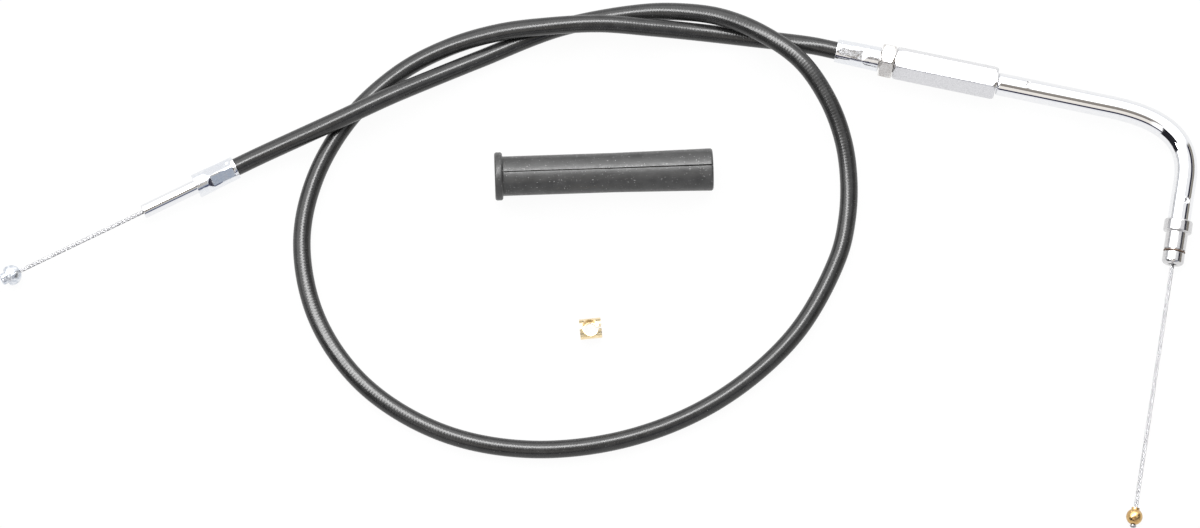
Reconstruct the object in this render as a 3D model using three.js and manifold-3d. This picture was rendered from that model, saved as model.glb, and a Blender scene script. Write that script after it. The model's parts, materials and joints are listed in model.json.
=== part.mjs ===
// A motorcycle throttle cable laid out with its loose boot and brass barrel.
// A sheathed housing carries one stranded wire from a carburettor end, through a hex
// adjuster and a chromed elbow that swivels in it, to a brass ball for the throttle grip.
// Units are millimetres, +Z is up and the surface that the cable lies on is z = 0.
// The origin is under the middle of the fittings.

import * as THREE from "three";
import { mergeVertices } from "three/addons/utils/BufferGeometryUtils.js";
import Module from "manifold-3d";

const wasm = await Module();
wasm.setup();

// ---------------------------------------------------------------- driving dimensions

const GAP = 0.3;                      // clearance between pieces that touch
const TURNED_SIDES = 20;              // facets round a turned piece
const SMALL_SIDES = 16;               // facets round a small turned piece

// the layers of the cable, as radii
const JACKET_R = 3.5;
const JACKET_BORE_R = 2.95;
const CONDUIT_R = 2.6;
const CONDUIT_BORE_R = 1.9;
const LINER_R = 1.5;
const LINER_BORE_R = 1.12;
const WIRE_R = 0.8;
const JACKET_SIDES = 10;
const LAYER_SIDES = 8;
const CABLE_STEPS = 54;

// the two ends of the sheathed length: mouth of the crimp, heading in the plan, pitch
const CARB_MOUTH = new THREE.Vector3(-142.2, 45.8, 5.1);
const CARB_HEADING = 206.3;
const CARB_PITCH = -0.6;
const ADJUSTER_MOUTH = new THREE.Vector3(94.1, 92.6, 7.2);
const ADJUSTER_HEADING = -12;

// crimp ferrules
const FERRULE_R = 4.9;
const CARB_CRIMPED_R = 4.3;           // pressed-in part next to the sheath
const ADJUSTER_CRIMPED_R = 4.65;
const FERRULE_BORE_R = JACKET_R + GAP;
const FERRULE_LENGTH = 17.4;
const CRIMP_LENGTH = 11;
const JACKET_INSERT = 11.3;           // how far the sheath goes into each ferrule
const FERRULE_EDGE = 0.3;             // broken edge at its far end
const MOUTH_LIP = 0.25;               // how far the mouth stands proud of the crimp

// carburettor end
const GUIDE_R = 2.8;
const GUIDE_BORE_R = 1.9;
const GUIDE_TIP = 40.4;               // from the mouth of the ferrule
const CARB_WIRE_HIDDEN = 6;           // wire inside the guide tube tip
const CARB_BALL_AT = 97.4;
const CARB_BALL_R = 3.95;
const CARB_FACE_AT = 2.1;             // flat far face, from the ball's middle
const CARB_NUB_R = 2.3;
const CARB_NUB_REACH = 4.4;           // end of the sprue, from the ball's middle

// adjuster
const THREAD_R = 3.97;                // 5/16 inch, 24 threads to the inch
const STUD_SHANK_R = 3.5;
const STUD_BORE_R = 1.4;
const STUD_END = 44.5;
const NUT_AT = 17.9;
const NUT_THICKNESS = 5.3;
const NUT_FLATS = 12.6;
const NUT_TURNED = 17;                // degrees that its top corner leans to -Y
const ADJUSTER_AT = 23.5;
const ADJUSTER_LENGTH = 40.8;
const ADJUSTER_FLATS = 12;
const ADJUSTER_TURNED = 25;
const ADJUSTER_END = ADJUSTER_AT + ADJUSTER_LENGTH;
const CAVITY_FROM = 46.5;
const CAVITY_TO = 59.5;
const CAVITY_R = 4.9;
const WASHER_THICKNESS = 0.9;
const HEX_CHAMFER = 0.8;
const COLLAR_BORE_R = 3.9;

// elbow
const ELBOW_R = 4.5;
const ELBOW_BORE_R = 3.6;
const ELBOW_NECK_R = 3.6;
const ELBOW_NECK_BORE_R = 2.9;
const ELBOW_HEAD_R = 4.6;
const ELBOW_HEAD_THICKNESS = 1.1;
const ELBOW_CORNER_AT = 143.4;        // where the two straight runs would meet
const ELBOW_TURN = 87.6;
const ELBOW_BEND_BEFORE = 33;         // bend starts this far before the corner
const ELBOW_BEND_AFTER = 22.7;
const ELBOW_BEND_PULL = 0.68;         // how far the bend's handles reach to the corner
const ELBOW_DROOP = 1.38;             // lets the brass ball down on to the surface
const BEND_STEPS = 12;
const BUSH_LENGTH = 8;
const INLET_BUSH_AT = 72.5;
const OUTLET_BUSH_AT = 27;

// plug that goes into the throttle housing, measured down the leg from the corner
const PLUG_COLLAR_AT = 39.3;
const PLUG_COLLAR_END = 44.1;
const PLUG_COLLAR_R = 5.6;
const PLUG_R = 4.3;
const PLUG_GROOVE_AT = 51.2;
const PLUG_GROOVE_END = 52.4;
const PLUG_GROOVE_R = 3.55;
const PLUG_END = 57.2;

// throttle wire, measured down the leg from the corner
const THROTTLE_WIRE_FROM = 25.2;
const THROTTLE_BALL_AT = 158;
const THROTTLE_BALL_R = 3.2;

// loose rubber boot
const BOOT_MIDDLE = new THREE.Vector3(2.4, 42.6, 8.95);
const BOOT_HEADING = 2.1;
const BOOT_PITCH = -0.75;
const BOOT_LENGTH = 85.6;
const BOOT_R = 7.75;
const BOOT_BORE_R = 6.25;
const BOOT_FLANGE_R = 9.45;
const BOOT_FLANGE_THICKNESS = 3.1;
const BOOT_MOUTH_R = 8.35;
const BOOT_SLIT = 0.5;

// loose brass barrel, lying on its side
const BARREL_MIDDLE = new THREE.Vector3(-2.8, -18.7, 4.0);
const BARREL_HEADING = 5.7;
const BARREL_R = 3.97;
const BARREL_LENGTH = 8.4;
const SOCKET_R = 3.3;
const SOCKET_FLOOR = -1.5;            // below the barrel's axis
const BARREL_HOLE_R = 2.45;
const BARREL_SLOT = 1.9;

// ---------------------------------------------------------------- the cable's route

// Points that the middle of the sheath passes between the two crimps. It crosses
// itself three times, in long low humps: over, under and over again.
const FREE_ROUTE = [
  [-117.3, 57.1, 7.8],
  [-99.6, 64.5, 11.4],
  [-82.1, 73.2, 10.2],
  [-64.1, 82.1, 6.0],
  [-46.5, 90.0, 3.9],
  [-14.9, 102.8, 3.66],
  [16.7, 108.9, 3.7],
  [32.6, 108.9, 5.4],
  [48.4, 105.9, 8.8],
  [64.2, 98.5, 12.4],
  [79.9, 86.9, 13.1],
  [90.4, 71.9, 11.0],
  [96.4, 56.3, 8.0],
  [98.6, 40.7, 5.4],
  [97.8, 24.8, 3.9],
  [93.8, 8.9, 3.66],
  [76.9, -21.1, 3.66],
  [47.6, -46.7, 3.66],
  [12.6, -61.9, 3.66],
  [-26.3, -66.5, 3.66],
  [-61.3, -59.6, 3.66],
  [-91.1, -41.1, 3.66],
  [-109.5, -15.1, 3.66],
  [-116.0, 14.9, 3.66],
  [-111.3, 41.1, 3.66],
  [-98.0, 65.3, 3.66],
  [-78.1, 84.4, 3.66],
  [-58.4, 94.8, 4.6],
  [-38.7, 99.7, 8.5],
  [-18.9, 101.5, 11.5],
  [0.9, 102.6, 11.0],
  [20.7, 101.8, 8.0],
  [38.5, 100.8, 5.0],
  [59.9, 98.6, 3.9],
];
const LEAD_OUT = 10;                  // straight length where the sheath leaves a crimp

// ---------------------------------------------------------------- shape helpers

const radians = THREE.MathUtils.degToRad;

/** A solid of revolution about +X from a closed outline of [along, radius] pairs. */
function turned(outline, sides = TURNED_SIDES) {
  const points = outline.map(([along, radius]) => new THREE.Vector2(radius, along));
  if (THREE.ShapeUtils.isClockWise(points)) {
    points.reverse();
  }
  points.push(points[0].clone());
  const shape = new THREE.LatheGeometry(points, sides);
  return shape.rotateZ(-Math.PI / 2);
}

/** A plain tube about +X. */
function sleeve(from, to, outer, bore, sides = TURNED_SIDES) {
  return turned([[from, bore], [to, bore], [to, outer], [from, outer]], sides);
}

/** A path that passes exactly through its stations, so nested layers bend alike. */
class StationPath extends THREE.Curve {
  constructor(stations) {
    super();
    this.stations = stations;
  }

  getPoint(t, target = new THREE.Vector3()) {
    const last = this.stations.length - 1;
    const place = Math.min(Math.max(t, 0), 1) * last;
    const before = Math.min(Math.floor(place), last - 1);
    return target.lerpVectors(this.stations[before], this.stations[before + 1], place - before);
  }

  getPointAt(t, target) {
    return this.getPoint(t, target);
  }

  getTangentAt(t, target = new THREE.Vector3()) {
    const last = this.stations.length - 1;
    const index = Math.round(t * last);
    const ahead = this.stations[Math.min(index + 1, last)];
    const behind = this.stations[Math.max(index - 1, 0)];
    return target.subVectors(ahead, behind).normalize();
  }
}

/** A polygon outline, with a hole where a bore is given. */
function section(outer, bore, sides) {
  const corner = (radius, index) => {
    const angle = (index / sides) * 2 * Math.PI;
    return new THREE.Vector2(radius * Math.cos(angle), radius * Math.sin(angle));
  };
  const ring = (radius) => Array.from({ length: sides }, (_, index) => corner(radius, index));
  const shape = new THREE.Shape(ring(outer));
  if (bore) {
    shape.holes.push(new THREE.Path(ring(bore).reverse()));
  }
  return shape;
}

/** A rod or tube swept through its stations. */
function swept(stations, outer, bore, sides) {
  return new THREE.ExtrudeGeometry(section(outer, bore, sides), {
    steps: stations.length - 1,
    extrudePath: new StationPath(stations),
    bevelEnabled: false,
  });
}

/** A hexagonal bar along +X, with one corner at +Z. */
function hexBar(from, length, flats) {
  const bar = new THREE.CylinderGeometry(flats / Math.sqrt(3), flats / Math.sqrt(3), length, 6);
  bar.rotateZ(-Math.PI / 2);
  return bar.translate(from + length / 2, 0, 0);
}

/** A box between two corners. */
function block(low, high) {
  const size = high.map((value, axis) => value - low[axis]);
  const middle = high.map((value, axis) => (value + low[axis]) / 2);
  return new THREE.BoxGeometry(...size).translate(...middle);
}

function toSolid(geometry) {
  const bare = geometry.clone();
  bare.deleteAttribute("normal");
  bare.deleteAttribute("uv");
  const merged = mergeVertices(bare, 1e-4);
  const index = merged.index.array;
  const position = merged.attributes.position.array;
  return new wasm.Manifold(new wasm.Mesh({
    numProp: 3,
    vertProperties: new Float32Array(position),
    triVerts: new Uint32Array(index),
  }));
}

function toGeometry(solid) {
  const mesh = solid.getMesh();
  const geometry = new THREE.BufferGeometry();
  geometry.setAttribute("position", new THREE.BufferAttribute(mesh.vertProperties, 3));
  geometry.setIndex(new THREE.BufferAttribute(mesh.triVerts, 1));
  geometry.computeVertexNormals();
  return geometry;
}

const cut = (body, ...tools) => toGeometry(
  tools.reduce((solid, tool) => solid.subtract(toSolid(tool)), toSolid(body)));
const joined = (...bodies) => toGeometry(
  bodies.map(toSolid).reduce((solid, body) => solid.add(body)));
const common = (body, other) => toGeometry(toSolid(body).intersect(toSolid(other)));

// ---------------------------------------------------------------- materials

const finish = (color, roughness, metalness) =>
  new THREE.MeshStandardMaterial({ color, roughness, metalness });

const MATERIALS = {
  sheath: () => finish(0x1c1c1e, 0.35, 0),
  rubber: () => finish(0x3a3a3b, 0.85, 0),
  chrome: () => finish(0xe6e8ec, 0.08, 1),
  zinc: () => finish(0xd4d6da, 0.3, 1),
  aluminium: () => finish(0xdfe0e2, 0.4, 1),
  steel: () => finish(0xb9bcc0, 0.3, 1),
  brass: () => finish(0xc9a24a, 0.25, 1),
  nylon: () => finish(0xf2efe6, 0.5, 0),
};

// ---------------------------------------------------------------- frames of the fittings

const assembly = new THREE.Group();

/** Adds a named piece to a group. */
function add(group, name, geometry, material) {
  const piece = new THREE.Mesh(geometry, MATERIALS[material]());
  piece.name = name;
  group.add(piece);
  return piece;
}

/** A group whose +X runs outward along a fitting. */
function fittingFrame(place, heading, pitch = 0, roll = 0) {
  const frame = new THREE.Group();
  frame.position.copy(place);
  frame.rotation.set(radians(roll), radians(-pitch), radians(heading), "ZYX");
  assembly.add(frame);
  frame.updateMatrixWorld(true);
  return frame;
}

const carbEnd = fittingFrame(CARB_MOUTH, CARB_HEADING, CARB_PITCH);
const adjusterEnd = fittingFrame(ADJUSTER_MOUTH, ADJUSTER_HEADING);
const elbowEnd = fittingFrame(ADJUSTER_MOUTH, ADJUSTER_HEADING, 0, ELBOW_DROOP);
const along = (frame, distance) => frame.localToWorld(new THREE.Vector3(distance, 0, 0));

// ---------------------------------------------------------------- sheathed cable

const route = new THREE.CatmullRomCurve3([
  along(carbEnd, JACKET_INSERT),
  along(carbEnd, 0),
  along(carbEnd, -LEAD_OUT),
  ...FREE_ROUTE.map((point) => new THREE.Vector3(...point)),
  along(adjusterEnd, -LEAD_OUT),
  along(adjusterEnd, 0),
  along(adjusterEnd, JACKET_INSERT),
], false, "centripetal");

function addCable() {
  const stations = route.getSpacedPoints(CABLE_STEPS);
  add(assembly, "cable_jacket", swept(stations, JACKET_R, JACKET_BORE_R, JACKET_SIDES), "sheath");
  add(assembly, "steel_conduit", swept(stations, CONDUIT_R, CONDUIT_BORE_R, LAYER_SIDES), "steel");
  add(assembly, "cable_liner", swept(stations, LINER_R, LINER_BORE_R, LAYER_SIDES), "nylon");
  const wireStations = [
    along(carbEnd, GUIDE_TIP - CARB_WIRE_HIDDEN - GAP),
    ...stations,
    along(adjusterEnd, CAVITY_FROM),
  ];
  add(assembly, "inner_wire", swept(wireStations, WIRE_R, 0, LAYER_SIDES), "steel");
}

/** A crimped sleeve: pressed in next to the sheath, full size at its far end. */
function ferrule(crimpedR, farBoreR) {
  return turned([
    [0, FERRULE_BORE_R],
    [JACKET_INSERT + GAP, FERRULE_BORE_R],
    [JACKET_INSERT + GAP, farBoreR],
    [FERRULE_LENGTH, farBoreR],
    [FERRULE_LENGTH, FERRULE_R - FERRULE_EDGE],
    [FERRULE_LENGTH - FERRULE_EDGE, FERRULE_R],
    [CRIMP_LENGTH + 2, FERRULE_R],
    [CRIMP_LENGTH, crimpedR],
    [1.6, crimpedR],
    [0.6, crimpedR + MOUTH_LIP],
    [0, crimpedR + MOUTH_LIP],
  ]);
}

// ---------------------------------------------------------------- carburettor end

function addCarburettorEnd() {
  const guideFrom = JACKET_INSERT + 2 * GAP;
  const wireFrom = GUIDE_TIP - CARB_WIRE_HIDDEN;
  const wireTo = CARB_BALL_AT + CARB_NUB_REACH - GAP;
  add(carbEnd, "carb_crimp_ferrule", ferrule(CARB_CRIMPED_R, GUIDE_R + GAP), "chrome");
  add(carbEnd, "carb_guide_tube", turned([
    [guideFrom, GUIDE_BORE_R],
    [GUIDE_TIP, GUIDE_BORE_R],
    [GUIDE_TIP, GUIDE_R - 0.4],
    [GUIDE_TIP - 0.5, GUIDE_R],
    [guideFrom, GUIDE_R],
  ]), "chrome");
  add(carbEnd, "guide_tube_liner",
    sleeve(guideFrom, GUIDE_TIP - 0.8, LINER_R, LINER_BORE_R, SMALL_SIDES), "nylon");
  add(carbEnd, "carb_wire",
    swept([new THREE.Vector3(wireFrom, 0, 0), new THREE.Vector3(wireTo, 0, 0)],
      WIRE_R, 0, LAYER_SIDES), "steel");
  add(carbEnd, "carb_ball", carbBall(), "zinc");
}

/** Cast ball on the wire, cut flat behind, with the stub of its sprue. */
function carbBall() {
  const bore = WIRE_R + GAP;
  const outline = [[CARB_BALL_AT + CARB_NUB_REACH, bore]];
  outline.push([CARB_BALL_AT + CARB_NUB_REACH, CARB_NUB_R - 0.5]);
  outline.push([CARB_BALL_AT + CARB_NUB_REACH - 0.5, CARB_NUB_R]);
  outline.push([CARB_BALL_AT + CARB_FACE_AT, CARB_NUB_R]);
  const arcSteps = 8;
  const fromAngle = Math.acos(CARB_FACE_AT / CARB_BALL_R);
  const toAngle = Math.PI - Math.asin(bore / CARB_BALL_R);
  for (let step = 0; step <= arcSteps; step += 1) {
    const angle = fromAngle + ((toAngle - fromAngle) * step) / arcSteps;
    const radius = CARB_BALL_R * Math.sin(angle);
    outline.push([CARB_BALL_AT + CARB_BALL_R * Math.cos(angle), radius]);
  }
  return turned(outline, SMALL_SIDES);
}

// ---------------------------------------------------------------- adjuster

/** Hexagonal bar with both ends turned to a chamfer. */
function chamferedHex(from, length, flats) {
  const corner = flats / Math.sqrt(3) + 0.1;
  const face = flats / 2 - 0.15;
  const to = from + length;
  const turning = turned([
    [from, 0],
    [to, 0],
    [to, face],
    [to - HEX_CHAMFER, corner],
    [from + HEX_CHAMFER, corner],
    [from, face],
  ]);
  return common(hexBar(from, length, flats), turning);
}

function addAdjuster() {
  add(adjusterEnd, "adjuster_crimp_ferrule", ferrule(ADJUSTER_CRIMPED_R, FERRULE_BORE_R), "chrome");
  add(adjusterEnd, "threaded_stud", turned([
    [JACKET_INSERT + 2 * GAP, STUD_BORE_R],
    [STUD_END, STUD_BORE_R],
    [STUD_END, THREAD_R - 0.6],
    [STUD_END - 0.6, THREAD_R],
    [FERRULE_LENGTH + GAP, THREAD_R],
    [FERRULE_LENGTH + GAP, STUD_SHANK_R],
    [JACKET_INSERT + 2 * GAP, STUD_SHANK_R],
  ]), "zinc");

  const threadBore = THREAD_R + GAP;
  const nut = add(adjusterEnd, "jam_nut", cut(
    chamferedHex(NUT_AT, NUT_THICKNESS, NUT_FLATS),
    turned([[NUT_AT - 1, 0], [NUT_AT + NUT_THICKNESS + 1, 0],
      [NUT_AT + NUT_THICKNESS + 1, threadBore], [NUT_AT - 1, threadBore]]),
  ), "zinc");
  nut.rotation.x = radians(NUT_TURNED);

  const barrel = add(adjusterEnd, "adjuster_barrel", cut(
    chamferedHex(ADJUSTER_AT, ADJUSTER_LENGTH, ADJUSTER_FLATS),
    turned([
      [ADJUSTER_AT - 1, 0],
      [ADJUSTER_END + 1, 0],
      [ADJUSTER_END + 1, COLLAR_BORE_R],
      [CAVITY_TO, COLLAR_BORE_R],
      [CAVITY_TO, CAVITY_R],
      [CAVITY_FROM, CAVITY_R],
      [CAVITY_FROM, threadBore],
      [ADJUSTER_AT - 1, threadBore],
    ]),
  ), "aluminium");
  barrel.rotation.x = radians(ADJUSTER_TURNED);

  const washerFrom = CAVITY_TO - GAP - WASHER_THICKNESS;
  add(adjusterEnd, "swivel_washer",
    sleeve(washerFrom, CAVITY_TO - GAP, ELBOW_HEAD_R, COLLAR_BORE_R), "brass");
}

// ---------------------------------------------------------------- elbow and its plug

const elbowCorner = new THREE.Vector3(ELBOW_CORNER_AT, 0, 0);
const legHeading = new THREE.Vector3(
  Math.cos(radians(ELBOW_TURN)), -Math.sin(radians(ELBOW_TURN)), 0);
const downLeg = (distance) => elbowCorner.clone().addScaledVector(legHeading, distance);

/** Stations along the elbow from a place before the bend to a place down the leg. */
function elbowStations(from, legTo) {
  const bendStart = new THREE.Vector3(ELBOW_CORNER_AT - ELBOW_BEND_BEFORE, 0, 0);
  const bendEnd = downLeg(ELBOW_BEND_AFTER);
  const bend = new THREE.CubicBezierCurve3(
    bendStart,
    bendStart.clone().lerp(elbowCorner, ELBOW_BEND_PULL),
    bendEnd.clone().lerp(elbowCorner, ELBOW_BEND_PULL),
    bendEnd,
  );
  return [new THREE.Vector3(from, 0, 0), ...bend.getSpacedPoints(BEND_STEPS), downLeg(legTo)];
}

/** A group whose +X runs down the elbow's leg from the corner. */
function legFrame() {
  const leg = new THREE.Group();
  leg.position.copy(elbowCorner);
  leg.rotation.z = radians(-ELBOW_TURN);
  elbowEnd.add(leg);
  return leg;
}

function addElbow() {
  const faceAt = ADJUSTER_END + GAP;
  const headTo = CAVITY_TO - 2 * GAP - WASHER_THICKNESS;
  const headFrom = headTo - ELBOW_HEAD_THICKNESS;
  const tube = swept(elbowStations(faceAt + 1.5, PLUG_COLLAR_END - 0.9),
    ELBOW_R, ELBOW_BORE_R, SMALL_SIDES);
  const neck = turned([
    [headFrom, ELBOW_NECK_BORE_R],
    [faceAt + 2, ELBOW_NECK_BORE_R],
    [faceAt + 2, ELBOW_R - 0.45],
    [faceAt + 1.5, ELBOW_R],
    [faceAt + 0.4, ELBOW_R],
    [faceAt, ELBOW_R - 0.4],
    [faceAt, ELBOW_NECK_R],
    [headTo, ELBOW_NECK_R],
    [headTo, ELBOW_HEAD_R],
    [headFrom, ELBOW_HEAD_R],
  ], SMALL_SIDES);
  add(elbowEnd, "elbow_tube", joined(tube, neck), "chrome");
  add(elbowEnd, "elbow_liner",
    swept(elbowStations(headFrom + 2, PLUG_END - 1), LINER_R, LINER_BORE_R, LAYER_SIDES), "nylon");
  add(elbowEnd, "elbow_wire",
    swept(elbowStations(CAVITY_FROM + GAP, THROTTLE_WIRE_FROM - GAP), WIRE_R, 0, LAYER_SIDES),
    "steel");
  const bushR = ELBOW_BORE_R - GAP;
  const bushBoreR = LINER_R + GAP;
  add(elbowEnd, "elbow_inlet_bush",
    sleeve(INLET_BUSH_AT, INLET_BUSH_AT + BUSH_LENGTH, bushR, bushBoreR, SMALL_SIDES), "nylon");

  const leg = legFrame();
  add(leg, "elbow_outlet_bush",
    sleeve(OUTLET_BUSH_AT, OUTLET_BUSH_AT + BUSH_LENGTH, bushR, bushBoreR, SMALL_SIDES), "nylon");
  addPlug(leg);
  addThrottleWire(leg);
}

function addPlug(leg) {
  add(leg, "end_fitting", turned([
    [PLUG_COLLAR_AT, ELBOW_R + GAP],
    [PLUG_COLLAR_END - 0.6, ELBOW_R + GAP],
    [PLUG_COLLAR_END - 0.6, LINER_R + GAP],
    [PLUG_END, LINER_R + GAP],
    [PLUG_END, PLUG_R - 1.3],
    [PLUG_END - 0.5, PLUG_R - 0.4],
    [PLUG_END - 1.3, PLUG_R],
    [PLUG_GROOVE_END, PLUG_R],
    [PLUG_GROOVE_END, PLUG_GROOVE_R],
    [PLUG_GROOVE_AT, PLUG_GROOVE_R],
    [PLUG_GROOVE_AT, PLUG_R],
    [PLUG_COLLAR_END, PLUG_R],
    [PLUG_COLLAR_END, PLUG_COLLAR_R - 0.2],
    [PLUG_COLLAR_END - 0.6, PLUG_COLLAR_R],
    [PLUG_COLLAR_AT + 0.6, PLUG_COLLAR_R],
    [PLUG_COLLAR_AT, PLUG_COLLAR_R - 0.3],
  ]), "chrome");

  const ringInner = PLUG_GROOVE_R + GAP;
  const ringOuter = PLUG_R + 0.15;
  const opening = radians(14);
  const ring = new THREE.Shape();
  ring.absarc(0, 0, ringOuter, opening, 2 * Math.PI - opening, false);
  ring.absarc(0, 0, ringInner, 2 * Math.PI - opening, opening, true);
  const thickness = PLUG_GROOVE_END - PLUG_GROOVE_AT - 2 * GAP;
  const solidRing = new THREE.ExtrudeGeometry(ring, {
    depth: thickness,
    bevelEnabled: false,
    curveSegments: 12,
  });
  solidRing.rotateY(Math.PI / 2);
  solidRing.translate(PLUG_GROOVE_AT + GAP, 0, 0);
  add(leg, "snap_ring", solidRing, "brass");
}

function addThrottleWire(leg) {
  const bore = WIRE_R + GAP;
  const ballEnd = THROTTLE_BALL_AT + THROTTLE_BALL_R;
  const collarAt = THROTTLE_BALL_AT - THROTTLE_BALL_R - 0.3;
  add(leg, "throttle_wire",
    swept([new THREE.Vector3(THROTTLE_WIRE_FROM, 0, 0), new THREE.Vector3(ballEnd, 0, 0)],
      WIRE_R, 0, LAYER_SIDES), "steel");

  const outline = [[collarAt, bore], [collarAt, bore + 0.5]];
  const arcSteps = 8;
  const fromAngle = Math.PI - Math.asin((bore + 0.5) / THROTTLE_BALL_R);
  const toAngle = Math.asin(bore / THROTTLE_BALL_R);
  for (let step = 0; step <= arcSteps; step += 1) {
    const angle = fromAngle + ((toAngle - fromAngle) * step) / arcSteps;
    const radius = THROTTLE_BALL_R * Math.sin(angle);
    outline.push([THROTTLE_BALL_AT + THROTTLE_BALL_R * Math.cos(angle), radius]);
  }
  add(leg, "throttle_ball", turned(outline, SMALL_SIDES), "brass");
  add(leg, "throttle_wire_tip", turned([
    [ballEnd + GAP, 0],
    [ballEnd + GAP + 0.9, 0],
    [ballEnd + GAP + 0.9, 0.7],
    [ballEnd + GAP + 0.4, 1.25],
    [ballEnd + GAP, 1.25],
  ], SMALL_SIDES), "steel");
}

// ---------------------------------------------------------------- loose pieces

/** Rubber boot with a flange at one end, a flared mouth, and a slit along its top. */
function addBoot() {
  const half = BOOT_LENGTH / 2;
  const frame = fittingFrame(BOOT_MIDDLE, BOOT_HEADING, BOOT_PITCH);
  const flangeEnd = -half + BOOT_FLANGE_THICKNESS;
  const body = turned([
    [-half, BOOT_BORE_R],
    [half, BOOT_BORE_R],
    [half, BOOT_MOUTH_R - 1],
    [half - 1, BOOT_MOUTH_R],
    [half - 6, BOOT_MOUTH_R],
    [10, BOOT_R],
    [flangeEnd, BOOT_R],
    [flangeEnd, BOOT_FLANGE_R - 0.8],
    [flangeEnd - 0.8, BOOT_FLANGE_R],
    [-half + 0.8, BOOT_FLANGE_R],
    [-half, BOOT_FLANGE_R - 0.8],
  ]);
  const slit = block(
    [flangeEnd + 0.4, -BOOT_SLIT / 2, BOOT_BORE_R - 1],
    [half + 1, BOOT_SLIT / 2, BOOT_MOUTH_R + 1],
  );
  add(frame, "adjuster_boot", cut(body, slit), "rubber");
}

/** Brass barrel with a cross socket for the ball and a slot for the wire. */
function addBarrel() {
  const half = BARREL_LENGTH / 2;
  const frame = fittingFrame(BARREL_MIDDLE, BARREL_HEADING);
  const body = turned([
    [-half, 0],
    [half, 0],
    [half, BARREL_R - 0.3],
    [half - 0.3, BARREL_R],
    [-half + 0.3, BARREL_R],
    [-half, BARREL_R - 0.3],
  ]);
  const reach = BARREL_R + 1;
  const upright = (from, to, radius) => {
    const bore = turned([[from, 0], [to, 0], [to, radius], [from, radius]]);
    return bore.rotateY(-Math.PI / 2);
  };
  const socket = upright(SOCKET_FLOOR, reach, SOCKET_R);
  const hole = upright(-reach, reach, BARREL_HOLE_R);
  const slot = block([0, -BARREL_SLOT / 2, -reach], [reach, BARREL_SLOT / 2, reach]);
  add(frame, "brass_barrel", cut(body, socket, hole, slot), "brass");
}

// ---------------------------------------------------------------- assembly

addCable();
addCarburettorEnd();
addAdjuster();
addElbow();
addBoot();
addBarrel();

export default assembly;
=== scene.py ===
import json
import math

import bmesh
import bpy
import numpy as np
from mathutils import Matrix, Vector, noise


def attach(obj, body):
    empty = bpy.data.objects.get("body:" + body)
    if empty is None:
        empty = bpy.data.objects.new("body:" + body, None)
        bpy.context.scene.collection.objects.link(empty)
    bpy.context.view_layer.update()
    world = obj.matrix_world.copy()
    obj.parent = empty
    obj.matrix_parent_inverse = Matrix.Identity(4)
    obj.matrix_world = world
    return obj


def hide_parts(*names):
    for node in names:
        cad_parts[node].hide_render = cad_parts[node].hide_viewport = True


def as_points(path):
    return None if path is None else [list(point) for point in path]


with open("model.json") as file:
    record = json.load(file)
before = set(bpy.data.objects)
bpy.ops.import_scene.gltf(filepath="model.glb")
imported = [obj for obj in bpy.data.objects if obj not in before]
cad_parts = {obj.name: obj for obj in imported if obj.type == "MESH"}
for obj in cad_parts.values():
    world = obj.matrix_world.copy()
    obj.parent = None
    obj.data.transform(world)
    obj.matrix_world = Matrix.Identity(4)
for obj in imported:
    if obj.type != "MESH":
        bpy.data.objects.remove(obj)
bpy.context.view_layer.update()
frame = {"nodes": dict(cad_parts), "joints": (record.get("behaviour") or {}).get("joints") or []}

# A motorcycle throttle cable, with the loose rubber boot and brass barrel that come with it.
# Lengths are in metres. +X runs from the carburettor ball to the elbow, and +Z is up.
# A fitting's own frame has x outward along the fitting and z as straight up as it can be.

# -------------------------------- camera

CAMERA_DISTANCE = 2.0
CAMERA_ELEVATION = math.radians(78)
CAMERA_LENS = 153
ORBIT_CENTRE = Vector((0.0009, 0.0004, 0))
LOOK_AT = Vector((0.0009, 0.0080, 0))


def add_camera():
    data = bpy.data.cameras.new("camera")
    data.lens = CAMERA_LENS
    data.sensor_width = 36
    camera = bpy.data.objects.new("camera", data)
    back = Vector((0, -math.cos(CAMERA_ELEVATION), math.sin(CAMERA_ELEVATION)))
    camera.location = ORBIT_CENTRE + back * CAMERA_DISTANCE
    camera.rotation_euler = (LOOK_AT - camera.location).to_track_quat("-Z", "Y").to_euler()
    bpy.context.scene.collection.objects.link(camera)
    bpy.context.scene.camera = camera


# -------------------------------- frames of the fittings

JOINTS = {joint["name"]: joint for joint in frame["joints"]}


def fitting_frame(origin, outward, up):
    """A frame at origin with x outward and z as near to up as it can be."""
    x = Vector(outward).normalized()
    z = (Vector(up) - x * x.dot(up)).normalized()
    y = z.cross(x)
    turned = Matrix((x, y, z)).transposed().to_4x4()
    return Matrix.Translation(origin) @ turned


ADJUSTER_MOUTH = Vector(JOINTS["adjuster_turn"]["pos_m"])
CARB_MOUTH = Vector((-0.1422, 0.0458, 0.0051))
UP = Vector((0, 0, 1))
carb_axis = -Vector(JOINTS["carb_wire_travel"]["axis"])
adjuster_axis = Vector(JOINTS["adjuster_turn"]["axis"])
leg_axis = Vector(JOINTS["throttle_pull"]["axis"])
ELBOW_CORNER_AT = 0.1434            # where the elbow's two straight lines would meet

carb_end = fitting_frame(CARB_MOUTH, carb_axis, UP)
adjuster_end = fitting_frame(ADJUSTER_MOUTH, adjuster_axis, UP)
elbow_up = leg_axis.cross(adjuster_axis).normalized()
elbow_end = fitting_frame(ADJUSTER_MOUTH, adjuster_axis, elbow_up)
leg = fitting_frame(ADJUSTER_MOUTH + adjuster_axis * ELBOW_CORNER_AT, leg_axis, elbow_up)

# -------------------------------- the cable's route

CLEARANCE = 0.0003                  # between pieces that fit over or stop short of each other
JACKET_R = 0.0035
JACKET_BORE_R = 0.00295
JACKET_INSERT = 0.0113              # how far the sheath goes into each ferrule
LEAD_OUT = 0.010                    # straight sheath before each ferrule

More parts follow.
